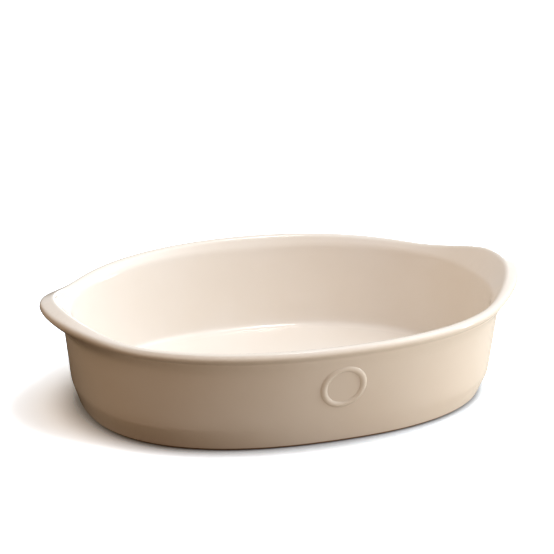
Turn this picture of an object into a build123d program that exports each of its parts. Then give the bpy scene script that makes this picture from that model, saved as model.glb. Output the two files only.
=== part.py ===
import os
from math import cos, radians, sin, tau

from build123d import *

os.makedirs("parts", exist_ok=True)

# The dish stands on its foot ring at z = 0 with the middle of its oval at the origin.
# Its long axis is X, with a wing handle at each end, and the ring shaped bead faces -Y.

# Overall size
dish_length = 350.0
dish_width = 225.0
rim_height = 75.1
wall_thickness = 6.2
floor_thickness = 7.2
glaze_thickness = 0.5
glaze_line_height = 1.6

# Wing handles, which stand out and up from the oval rim
wing_reach = 14.1
wing_rise = 9.4
wing_half_width = 74.0
wing_fullness = 2.6
wing_fade = 3.2
rim_dip_height = 3.9

# Rim roll, which parts at the handles into an outer edge and an inner crest
lip_radius = 3.5
lip_first_angle = -50
lip_parting_angle = 60
lip_last_angle = 142
lip_gap_angle = 16
lip_steps = 3
crest_inset = 5.4
crest_lift = 1.9
band_hollow_angle = 12

# Outside wall, from the underside of the rim down past the ridge to the foot
rim_fullness = 2.12
rim_overhang = 3.8
shoulder_drop = 14.5
shoulder_fullness = 2.08
shoulder_round = 5.0
end_wall_lean = 8.0
side_wall_lean = 9.7
ridge_height = 16.3
ridge_fullness = 2.41
ridge_round = 2.4
end_foot_bevel = 6.1
side_foot_bevel = 3.8
foot_fullness = 2.33

# Inside, from the crease under the rim down to the floor
crease_drop = 7.6
crease_fullness = 2.14
crease_round = 2.5
floor_fullness = 2.15
floor_round = 6.5

# Foot ring and the glazed recess inside it
foot_ring_width = 6.0
recess_depth = 1.8
foot_edge_round = 0.9

# Round bead that draws a ring on the long side, between the ridge and the shoulder
bead_margin = 7.95
bead_lift = 5.8
bead_width = 4.4
bead_height = 0.9
bead_root = 2.5

# Sampling of the form
plan_points = 96
bend_shares = (0, 0.3, 0.7, 1)
wall_steps = 3
path_step = tau / 3600

# Half sizes and heights of the control ovals
rim_half_length = dish_length / 2 - wing_reach
rim_half_width = dish_width / 2
shoulder_half_length = rim_half_length - rim_overhang
shoulder_half_width = rim_half_width - rim_overhang
shoulder_height = rim_height - shoulder_drop
ridge_half_length = shoulder_half_length - end_wall_lean
ridge_half_width = shoulder_half_width - side_wall_lean
foot_half_length = ridge_half_length - end_foot_bevel
foot_half_width = ridge_half_width - side_foot_bevel
crease_half_length = shoulder_half_length - wall_thickness
crease_half_width = shoulder_half_width - wall_thickness
floor_height = recess_depth + floor_thickness
floor_bevel_share = floor_height / ridge_height
floor_half_length = foot_half_length + end_foot_bevel * floor_bevel_share - wall_thickness
floor_half_width = foot_half_width + side_foot_bevel * floor_bevel_share - wall_thickness
wall_height = shoulder_height - ridge_height
bead_radius = wall_height / 2 - bead_margin
bead_center_height = ridge_height + wall_height / 2 + bead_lift
bead_round = (bead_width**2 / 4 + bead_height**2) / (2 * bead_height)


def wing_swell(y):
    """Part of a wing handle that stands out at a place across the dish, 1 in its middle."""
    return max(0, 1 - abs(y / wing_half_width) ** wing_fullness) ** wing_fade


def oval(half_length, half_width, fullness, height, reach_share=0, rise_share=0):
    """A control oval of the form: its plan, its height and its part of the wings."""

    def at(angle):
        spread = abs(cos(angle)) ** fullness + abs(sin(angle)) ** fullness
        size = spread ** (-1 / fullness)
        x = half_length * size * cos(angle)
        y = half_width * size * sin(angle)
        swell = wing_swell(y)
        side = 1 if x > 0 else -1
        dip = rim_dip_height * (x / rim_half_length) ** 2
        lift = rise_share * (wing_rise * swell - dip)
        return Vector(x + side * reach_share * wing_reach * swell, y, height + lift)

    return at


def between(start, end, share):
    """Value a share of the way from one size to another."""
    return start + (end - start) * share


roll_half_length = rim_half_length - lip_radius
roll_half_width = rim_half_width - lip_radius
foot = oval(foot_half_length, foot_half_width, foot_fullness, 0)
ridge = oval(ridge_half_length, ridge_half_width, ridge_fullness, ridge_height)
shoulder = oval(
    shoulder_half_length, shoulder_half_width, shoulder_fullness, shoulder_height
)
roll = oval(
    roll_half_length, roll_half_width, rim_fullness, rim_height - lip_radius, 1, 1
)
crease = oval(
    crease_half_length, crease_half_width, crease_fullness, rim_height - crease_drop
)
floor = oval(floor_half_length, floor_half_width, floor_fullness, floor_height)


def bend(before, corner, after, length):
    """Points of a rounded corner between two straight stretches of the section."""
    start = corner + (before - corner).normalized() * length
    end = corner + (after - corner).normalized() * length
    return [
        start * (1 - s) ** 2 + corner * (2 * s * (1 - s)) + end * s**2
        for s in bend_shares
    ]


def stretch(start, end):
    """Points inside a straight stretch of the section."""
    return [between(start, end, i / wall_steps) for i in range(1, wall_steps)]


def spaced(first, last):
    """Turns from one angle to another in even steps."""
    return [radians(between(first, last, i / lip_steps)) for i in range(lip_steps + 1)]


def rim_roll(angle):
    """Points over the rim: round its outer edge, then round its crest further in."""
    edge = roll(angle)
    along = (roll(angle + path_step) - roll(angle - path_step)).normalized()
    outward = Vector(along.Y, -along.X, 0).normalized()
    upward = outward.cross(along)
    swell = wing_swell(edge.Y)
    crest = edge - outward * (crest_inset * swell) + Vector(0, 0, crest_lift * swell)
    half_gap = lip_gap_angle / 2 - band_hollow_angle * swell
    edge_turns = spaced(lip_first_angle, lip_parting_angle - half_gap)
    crest_turns = spaced(lip_parting_angle + half_gap, lip_last_angle)
    return [
        middle + outward * (lip_radius * cos(turn)) + upward * (lip_radius * sin(turn))
        for middle, turns in ((edge, edge_turns), (crest, crest_turns))
        for turn in turns
    ]


def section(angle):
    """Points of the wall from the foot up, over the rim and down to the floor."""
    lip = rim_roll(angle)
    sole = bend(Vector(0, 0, 0), foot(angle), ridge(angle), foot_edge_round)
    low = bend(foot(angle), ridge(angle), shoulder(angle), ridge_round)
    neck = bend(ridge(angle), shoulder(angle), lip[0], shoulder_round)
    brow = bend(lip[-1], crease(angle), floor(angle), crease_round)
    middle = Vector(0, 0, floor_height)
    well = bend(crease(angle), floor(angle), middle, floor_round)
    return [
        *sole,
        *stretch(sole[-1], low[0]),
        *low,
        *stretch(low[-1], neck[0]),
        *neck,
        *lip,
        *stretch(lip[-1], brow[0]),
        *brow,
        *stretch(brow[-1], well[0]),
        *well,
    ]


def surface_normal(grid, step, i):
    """Direction out of the clay at one point of the grid of sections."""
    around = grid[(i + 1) % plan_points][step] - grid[i - 1][step]
    last_step = len(grid[i]) - 1
    up = grid[i][min(step + 1, last_step)] - grid[i][max(step - 1, 0)]
    normal = around.cross(up)
    if step == 0:
        normal = Vector(normal.X, normal.Y, 0)
    if step == last_step:
        normal = Vector(0, 0, 1)
    return normal.normalized()


def dish_form(skin):
    """The dish with its bead, drawn in all over by the thickness of a skin."""
    grid = [section(tau / 4 + i * tau / plan_points) for i in range(plan_points)]
    shares = [i / plan_points for i in range(plan_points + 1)]
    rings = []
    for step in range(len(grid[0])):
        points = [
            grid[i][step] - surface_normal(grid, step, i) * skin
            for i in range(plan_points)
        ]
        rings.append(Wire([Edge.make_spline(points, periodic=True, parameters=shares)]))
    bead_share = (bead_center_height - ridge_height) / wall_height
    bead_center = (0, -ridge_half_width - side_wall_lean * bead_share, bead_center_height)
    bead_plane = Plane(origin=bead_center, x_dir=(1, 0, 0), z_dir=(0, side_wall_lean, -wall_height))
    with BuildPart() as form:
        add(Solid.make_loft(rings))
        with BuildSketch(bead_plane):
            with Locations((bead_radius, bead_height - bead_round)):
                Circle(bead_round - skin)
            with Locations((bead_radius, 0)):
                Rectangle(2 * bead_round, 2 * bead_root, mode=Mode.INTERSECT)
        revolve(axis=Axis(bead_center, bead_plane.y_dir))
    return form.part


# Clay form under the glaze
clay_form = dish_form(glaze_thickness)

# Outline of the recess inside the foot ring
inner_foot = oval(
    foot_half_length - foot_ring_width,
    foot_half_width - foot_ring_width,
    foot_fullness,
    0,
)
with BuildSketch() as recess_outline:
    with BuildLine():
        Spline([inner_foot(i * tau / plan_points) for i in range(plan_points)], periodic=True)
    make_face()

# Fired clay body with its bare foot ring
with BuildPart() as stoneware_body:
    add(clay_form)
    extrude(recess_outline.sketch, recess_depth + glaze_thickness, mode=Mode.SUBTRACT)
    sole_edges = edges().filter_by_position(Axis.Z, -foot_edge_round / 2, foot_edge_round / 2)
    fillet(sole_edges.sort_by(SortBy.LENGTH)[0], foot_edge_round)
stoneware_body.part.label = "stoneware_body"

# Glaze over the outside, the rim and the inside
full_form = dish_form(0)
with BuildPart() as glaze_coat:
    add(full_form)
    split(bisect_by=Plane.XY.offset(glaze_line_height), keep=Keep.TOP)
    add(clay_form, mode=Mode.SUBTRACT)
glaze_coat.part.label = "glaze_coat"

# Glaze in the recess under the dish
with BuildPart() as base_glaze:
    with BuildSketch(Plane.XY.offset(recess_depth)):
        add(recess_outline.sketch)
    extrude(amount=glaze_thickness)
base_glaze.part.label = "base_glaze"

for piece in (stoneware_body, glaze_coat, base_glaze):
    export_step(piece.part, f"parts/{piece.part.label}.step")
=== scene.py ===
"""Gratin dish: its glaze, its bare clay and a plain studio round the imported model."""

from math import cos, radians, sin

import bpy
from mathutils import Matrix, Vector

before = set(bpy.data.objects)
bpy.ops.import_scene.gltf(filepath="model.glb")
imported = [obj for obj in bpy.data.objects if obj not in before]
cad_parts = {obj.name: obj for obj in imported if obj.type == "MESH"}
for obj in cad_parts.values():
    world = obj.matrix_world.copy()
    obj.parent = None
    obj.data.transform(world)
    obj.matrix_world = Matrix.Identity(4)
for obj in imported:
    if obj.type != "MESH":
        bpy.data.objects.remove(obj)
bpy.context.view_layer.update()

# Picture: its side and the focal length in pixels, and the sensor in millimetres
PICTURE_SIDE = 554
FOCAL_PIXELS = 2600
SENSOR_WIDTH = 36

# Camera, as angles in degrees and distances in metres
CAMERA_AZIMUTH = -23.37
CAMERA_ELEVATION = 22.21
CAMERA_DISTANCE = 1.8214
CAMERA_ROLL = -2.06
CAMERA_TARGET = Vector((0, 0, 0.035))
AIM_RIGHT = -0.0057
AIM_UP = 0.04576

# Glaze: linear colours, roughness range, and how far towards the inside each one reaches;
# the outer colours are a darker, warmer copy of the cream, painted shade on the outside
# wall
GLAZE_CREAM = (0.90, 0.85, 0.79)
GLAZE_WARM = (0.89, 0.83, 0.755)
GLAZE_PAINTED_SHADE = (0.89, 0.80, 0.695)
GLAZE_PAINTED_SHADE_WARM = (0.875, 0.775, 0.66)
GLAZE_GLOSS = (0.04, 0.09)
GLAZE_IOR = 1.5
INSIDE_RANGE = (-0.9, 0.4)

# Glaze variation: scale and detail of each noise, and the part of it that counts
CLOUD_NOISE = (14, 3)
CLOUD_RANGE = (0.35, 0.65)
GLOSS_NOISE = (9, 2)
GLOSS_RANGE = (0.3, 0.7)
RIPPLE_NOISE = (26, 2)
RIPPLE_STRENGTH = 0.2
RIPPLE_HEIGHT = 0.0005
SPECK_BROWN = (0.22, 0.12, 0.07)
SPECK_SCALE = 55
SPECK_RARITY = 0.988
SPECK_RANGE = (0.965, 0.98)

# Bare clay: linear colours, then scale, detail and roughness of its grain
CLAY_BUFF = (0.46, 0.29, 0.175)
CLAY_DARK = (0.30, 0.17, 0.10)
CLAY_NOISE = (900, 4, 0.7)
CLAY_RANGE = (0.35, 0.7)
PIT_STRENGTH = 0.6
PIT_HEIGHT = 0.0003
CLAY_ROUGHNESS = 0.85

# Floor as the camera sees it, in metres and linear colours, above 1 to fade to white,
# darkened near the dish by a painted contact shadow
FLOOR_SIZE = 12
FLOOR_DROP = 0.0002
FLOOR_SEEN = (1.95, 2.1, 2.25)
FLOOR_PAINTED_CONTACT_SHADOW = (0.58, 0.62, 0.66)
CONTACT_REACH = 0.06
CONTACT_RANGE = (0.42, 0.68)
CONTACT_SAMPLES = 16

# Floor as other rays see it, graded towards one azimuth
BOUNCE_AZIMUTH = 65
BOUNCE_REACH = (-0.08, 0.22)
BOUNCE_DIM = (0.09, 0.06, 0.035)
BOUNCE_LIT = (0.86, 0.82, 0.74)

# Lamps: azimuth and elevation in degrees, narrowness, then colour with its strength
SOFT_BOX_POWER = 14
WINDOW_POWER = 320
LAMPS = (
    (-180, 12, SOFT_BOX_POWER, (0.59, 0.55, 0.52)),
    (-135, 12, SOFT_BOX_POWER, (1.04, 0.88, 0.73)),
    (-90, 12, SOFT_BOX_POWER, (0.81, 0.65, 0.49)),
    (-45, 12, SOFT_BOX_POWER, (0.42, 0.29, 0.19)),
    (0, 12, SOFT_BOX_POWER, (0.14, 0.05, 0.02)),
    (90, 12, SOFT_BOX_POWER, (1.77, 1.79, 1.82)),
    (135, 12, SOFT_BOX_POWER, (0.65, 0.67, 0.68)),
    (-157.5, 42, SOFT_BOX_POWER, (0.18, 0.17, 0.15)),
    (-112.5, 42, SOFT_BOX_POWER, (0.42, 0.34, 0.26)),
    (-67.5, 42, SOFT_BOX_POWER, (0.31, 0.17, 0.07)),
    (-22.5, 42, SOFT_BOX_POWER, (0.25, 0.14, 0.07)),
    (22.5, 42, SOFT_BOX_POWER, (0.42, 0.36, 0.31)),
    (67.5, 42, SOFT_BOX_POWER, (4.09, 4.22, 4.33)),
    (112.5, 42, SOFT_BOX_POWER, (0.6, 0.65, 0.69)),
    (157.5, 42, SOFT_BOX_POWER, (0.26, 0.28, 0.29)),
    (90, 75, SOFT_BOX_POWER, (0.81, 0.86, 0.93)),
    (330, 75, SOFT_BOX_POWER, (1.05, 1.06, 1.08)),
    (76, 6, WINDOW_POWER, (18, 18, 18)),
    (147, 4, WINDOW_POWER, (14, 14, 14)),
    (60, 72, WINDOW_POWER, (30, 30, 30)),
)


def add_node(tree, kind, place, **values):
    """Adds a shader node and sets the properties given by name."""
    node = tree.nodes.new(kind)
    node.location = place
    for name, value in values.items():
        setattr(node, name, value)
    return node


def new_material(name):
    """Makes an empty node material and gives its tree and its principled shader."""
    material = bpy.data.materials.new(name)
    material.use_nodes = True
    tree = material.node_tree
    tree.nodes.clear()
    output = add_node(tree, "ShaderNodeOutputMaterial", (900, 0))
    shader = add_node(tree, "ShaderNodeBsdfPrincipled", (600, 0))
    tree.links.new(shader.outputs["BSDF"], output.inputs["Surface"])
    return material, tree, shader


def noise(tree, place, scale, detail, roughness=0.5):
    """Adds a noise texture in object space and gives its factor."""
    coords = add_node(tree, "ShaderNodeTexCoord", (place[0] - 200, place[1]))
    texture = add_node(tree, "ShaderNodeTexNoise", place)
    texture.inputs["Scale"].default_value = scale
    texture.inputs["Detail"].default_value = detail
    texture.inputs["Roughness"].default_value = roughness
    tree.links.new(coords.outputs["Object"], texture.inputs["Vector"])
    return texture.outputs["Fac"]


def spread(tree, place, value, low, high, to_low=0, to_high=1):
    """Maps a value from one range to another, clamped."""
    node = add_node(tree, "ShaderNodeMapRange", place)
    node.inputs["From Min"].default_value = low
    node.inputs["From Max"].default_value = high
    node.inputs["To Min"].default_value = to_low
    node.inputs["To Max"].default_value = to_high
    tree.links.new(value, node.inputs["Value"])
    return node.outputs["Result"]


def blend_colors(tree, place, share, first, second):
    """Mixes two colours, each a tuple or a socket, by a share."""
    node = add_node(tree, "ShaderNodeMix", place, data_type="RGBA")
    tree.links.new(share, node.inputs[0])
    for socket, color in ((node.inputs[6], first), (node.inputs[7], second)):
        if isinstance(color, tuple):
            socket.default_value = (*color, 1)
        else:
            tree.links.new(color, socket)
    return node.outputs[2]


def unshaded_share(tree, place):
    """1 where the surface faces the inside of the dish or up, 0 on its outside wall, which
    gets painted shade.
    """
    x, y = place
    surface = add_node(tree, "ShaderNodeNewGeometry", (x, y))
    level = add_node(tree, "ShaderNodeVectorMath", (x + 180, y), operation="MULTIPLY")
    level.inputs[1].default_value = (1, 1, 0)
    tree.links.new(surface.outputs["Position"], level.inputs[0])
    outward = add_node(tree, "ShaderNodeVectorMath", (x + 360, y), operation="NORMALIZE")
    tree.links.new(level.outputs["Vector"], outward.inputs[0])
    inward = add_node(tree, "ShaderNodeVectorMath", (x + 540, y), operation="SUBTRACT")
    inward.inputs[0].default_value = (0, 0, 1)
    tree.links.new(outward.outputs["Vector"], inward.inputs[1])
    facing = add_node(tree, "ShaderNodeVectorMath", (x + 720, y), operation="DOT_PRODUCT")
    tree.links.new(inward.outputs["Vector"], facing.inputs[0])
    tree.links.new(surface.outputs["Normal"], facing.inputs[1])
    return spread(tree, (x + 900, y), facing.outputs["Value"], *INSIDE_RANGE)


def glaze_material():
    """Glossy cream glaze with painted shade on its outside wall as a darker, warmer copy of
    the cream, and with faint clouding, ripples and iron specks.
    """
    material, tree, shader = new_material("cream_glaze")
    clouds = spread(tree, (-200, 500), noise(tree, (-400, 500), *CLOUD_NOISE), *CLOUD_RANGE)
    inner = blend_colors(tree, (0, 500), clouds, GLAZE_CREAM, GLAZE_WARM)
    # Painted shade: the outside wall gets a darker, warmer copy of the same cream glaze
    painted_shade = blend_colors(tree, (0, 300), clouds, GLAZE_PAINTED_SHADE, GLAZE_PAINTED_SHADE_WARM)
    inside = unshaded_share(tree, (-1300, 100))
    color = blend_colors(tree, (200, 400), inside, painted_shade, inner)
    specks = spread(tree, (-200, 0), specks_noise(tree, (-600, 0)), *SPECK_RANGE)
    color = blend_colors(tree, (400, 300), specks, color, SPECK_BROWN)
    tree.links.new(color, shader.inputs["Base Color"])
    ripples = add_node(tree, "ShaderNodeBump", (300, -300))
    ripples.inputs["Strength"].default_value = RIPPLE_STRENGTH
    ripples.inputs["Distance"].default_value = RIPPLE_HEIGHT
    waves = noise(tree, (-200, -300), *RIPPLE_NOISE)
    tree.links.new(waves, ripples.inputs["Height"])
    tree.links.new(ripples.outputs["Normal"], shader.inputs["Normal"])
    sheen = noise(tree, (0, -100), *GLOSS_NOISE)
    gloss = spread(tree, (200, -100), sheen, *GLOSS_RANGE, *GLAZE_GLOSS)
    tree.links.new(gloss, shader.inputs["Roughness"])
    shader.inputs["IOR"].default_value = GLAZE_IOR
    return material


def specks_noise(tree, place):
    """Nearness to scattered points that only a few cells keep, for iron specks."""
    x, y = place
    coords = add_node(tree, "ShaderNodeTexCoord", (x, y))
    cells = add_node(tree, "ShaderNodeTexVoronoi", (x + 180, y))
    cells.inputs["Scale"].default_value = SPECK_SCALE
    tree.links.new(coords.outputs["Object"], cells.inputs["Vector"])
    apart = add_node(tree, "ShaderNodeSeparateColor", (x + 360, y - 100))
    tree.links.new(cells.outputs["Color"], apart.inputs["Color"])
    rare = add_node(tree, "ShaderNodeMath", (x + 540, y - 100), operation="GREATER_THAN")
    rare.inputs[1].default_value = SPECK_RARITY
    tree.links.new(apart.outputs["Red"], rare.inputs[0])
    near = add_node(tree, "ShaderNodeMath", (x + 540, y), operation="SUBTRACT")
    near.inputs[0].default_value = 1
    tree.links.new(cells.outputs["Distance"], near.inputs[1])
    kept = add_node(tree, "ShaderNodeMath", (x + 720, y), operation="MULTIPLY")
    tree.links.new(near.outputs[0], kept.inputs[0])
    tree.links.new(rare.outputs[0], kept.inputs[1])
    return kept.outputs[0]


def clay_material():
    """Bare fired clay with its grain."""
    material, tree, shader = new_material("fired_clay")
    grain = noise(tree, (-400, 200), *CLAY_NOISE)
    dark_share = spread(tree, (-200, 200), grain, *CLAY_RANGE)
    color = blend_colors(tree, (0, 200), dark_share, CLAY_BUFF, CLAY_DARK)
    tree.links.new(color, shader.inputs["Base Color"])
    pits = add_node(tree, "ShaderNodeBump", (300, -300))
    pits.inputs["Strength"].default_value = PIT_STRENGTH
    pits.inputs["Distance"].default_value = PIT_HEIGHT
    tree.links.new(grain, pits.inputs["Height"])
    tree.links.new(pits.outputs["Normal"], shader.inputs["Normal"])
    shader.inputs["Roughness"].default_value = CLAY_ROUGHNESS
    return material


def dress(node_name, material):
    """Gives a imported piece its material."""
    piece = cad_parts[node_name]
    piece.data.materials.clear()
    piece.data.materials.append(material)


def floor_bounce(tree, place):
    """Colour of the light that the floor throws back, strongest on the lit side."""
    x, y = place
    position = add_node(tree, "ShaderNodeNewGeometry", (x, y)).outputs["Position"]
    towards = add_node(tree, "ShaderNodeVectorMath", (x + 180, y), operation="DOT_PRODUCT")
    towards.inputs[1].default_value = around(BOUNCE_AZIMUTH, 0)
    tree.links.new(position, towards.inputs[0])
    lit = spread(tree, (x + 360, y), towards.outputs["Value"], *BOUNCE_REACH)
    return blend_colors(tree, (x + 540, y), lit, BOUNCE_DIM, BOUNCE_LIT)


def floor_seen(tree, place):
    """Colour of the floor that the camera sees, with a painted contact shadow where the
    dish stands on it.
    """
    x, y = place
    # Ambient occlusion darkens the floor near the dish: painted contact shadow added to the
    # lamps' own shadow
    nearby = add_node(
        tree, "ShaderNodeAmbientOcclusion", (x, y), samples=CONTACT_SAMPLES
    )
    nearby.inputs["Distance"].default_value = CONTACT_REACH
    open_share = spread(tree, (x + 180, y), nearby.outputs["AO"], *CONTACT_RANGE)
    return blend_colors(tree, (x + 360, y), open_share, FLOOR_PAINTED_CONTACT_SHADOW, FLOOR_SEEN)


def build_floor():
    """Plain pale floor just under the dish, which fades into the white background."""
    place = (0, 0, -FLOOR_DROP)
    bpy.ops.mesh.primitive_plane_add(size=FLOOR_SIZE, location=place)
    floor = bpy.context.object
    floor.name = "studio_floor"
    material, tree, shader = new_material("studio_floor")
    path = add_node(tree, "ShaderNodeLightPath", (-200, 500))
    bounce = floor_bounce(tree, (-900, -200))
    white = floor_seen(tree, (-900, 200))
    color = blend_colors(tree, (200, 200), path.outputs["Is Camera Ray"], bounce, white)
    tree.links.new(color, shader.inputs["Base Color"])
    shader.inputs["Roughness"].default_value = 1
    shader.inputs["Specular IOR Level"].default_value = 0
    floor.data.materials.append(material)


def around(azimuth, elevation):
    """Unit vector towards a place at an azimuth and an elevation, in degrees.

    Azimuth 0 is towards -Y, where the camera stands at azimuth 0, and 90 is towards +X.
    """
    turn, rise = radians(azimuth), radians(elevation)
    return Vector((sin(turn) * cos(rise), -cos(turn) * cos(rise), sin(rise)))


def soft_box(tree, place, view, azimuth, elevation, narrowness, color):
    """Adds the glow of one soft lamp of the studio to the world and gives its colour."""
    x, y = place
    towards = add_node(tree, "ShaderNodeVectorMath", (x, y), operation="DOT_PRODUCT")
    towards.inputs[1].default_value = around(azimuth, elevation)
    tree.links.new(view, towards.inputs[0])
    facing = add_node(tree, "ShaderNodeMath", (x + 180, y), operation="MAXIMUM")
    facing.inputs[1].default_value = 0
    tree.links.new(towards.outputs["Value"], facing.inputs[0])
    glow = add_node(tree, "ShaderNodeMath", (x + 360, y), operation="POWER")
    glow.inputs[1].default_value = narrowness
    tree.links.new(facing.outputs[0], glow.inputs[0])
    tinted = add_node(tree, "ShaderNodeVectorMath", (x + 540, y), operation="SCALE")
    tinted.inputs[0].default_value = color
    tree.links.new(glow.outputs[0], tinted.inputs["Scale"])
    return tinted.outputs["Vector"]


def build_world():
    """Soft lamps all round, and plain white where the camera looks past the object."""
    world = bpy.data.worlds.new("studio")
    world.use_nodes = True
    bpy.context.scene.world = world
    tree = world.node_tree
    tree.nodes.clear()
    view = add_node(tree, "ShaderNodeTexCoord", (-1500, 0)).outputs["Generated"]
    total = None
    for i, lamp in enumerate(LAMPS):
        glow = soft_box(tree, (-1200, -200 * i), view, *lamp)
        if total is None:
            total = glow
            continue
        together = add_node(tree, "ShaderNodeVectorMath", (-400, -200 * i))
        tree.links.new(total, together.inputs[0])
        tree.links.new(glow, together.inputs[1])
        total = together.outputs["Vector"]
    background = add_node(tree, "ShaderNodeBackground", (0, 0))
    tree.links.new(total, background.inputs["Color"])
    white = add_node(tree, "ShaderNodeBackground", (0, -200))
    white.inputs["Color"].default_value = (1, 1, 1, 1)
    path = add_node(tree, "ShaderNodeLightPath", (-200, 300))
    mix = add_node(tree, "ShaderNodeMixShader", (300, 0))
    tree.links.new(path.outputs["Is Camera Ray"], mix.inputs[0])
    tree.links.new(background.outputs[0], mix.inputs[1])
    tree.links.new(white.outputs[0], mix.inputs[2])
    output = add_node(tree, "ShaderNodeOutputWorld", (500, 0))
    tree.links.new(mix.outputs[0], output.inputs["Surface"])


def build_camera():
    """Camera at the photograph's viewing angle."""
    back = around(CAMERA_AZIMUTH, CAMERA_ELEVATION)
    turn = radians(CAMERA_AZIMUTH)
    right = Vector((cos(turn), sin(turn), 0))
    up = back.cross(right)
    place = CAMERA_TARGET + back * CAMERA_DISTANCE
    aim = CAMERA_TARGET + right * AIM_RIGHT + up * AIM_UP
    back = (place - aim).normalized()
    right = Vector((0, 0, 1)).cross(back).normalized()
    up = back.cross(right)
    roll = radians(CAMERA_ROLL)
    rolled_right = right * cos(roll) - up * sin(roll)
    rolled_up = right * sin(roll) + up * cos(roll)
    camera = bpy.data.cameras.new("camera")
    camera.sensor_width = SENSOR_WIDTH
    camera.lens = FOCAL_PIXELS / PICTURE_SIDE * SENSOR_WIDTH
    camera.clip_end = 2 * FLOOR_SIZE
    holder = bpy.data.objects.new("camera", camera)
    holder.matrix_world = Matrix.Translation(place) @ Matrix(
        (rolled_right, rolled_up, back)
    ).transposed().to_4x4()
    bpy.context.scene.collection.objects.link(holder)
    bpy.context.scene.camera = holder


glaze = glaze_material()
dress("glaze_coat", glaze)
dress("base_glaze", glaze)
dress("stoneware_body", clay_material())
build_floor()
build_world()
build_camera()
bpy.context.scene.view_settings.view_transform = "Standard"
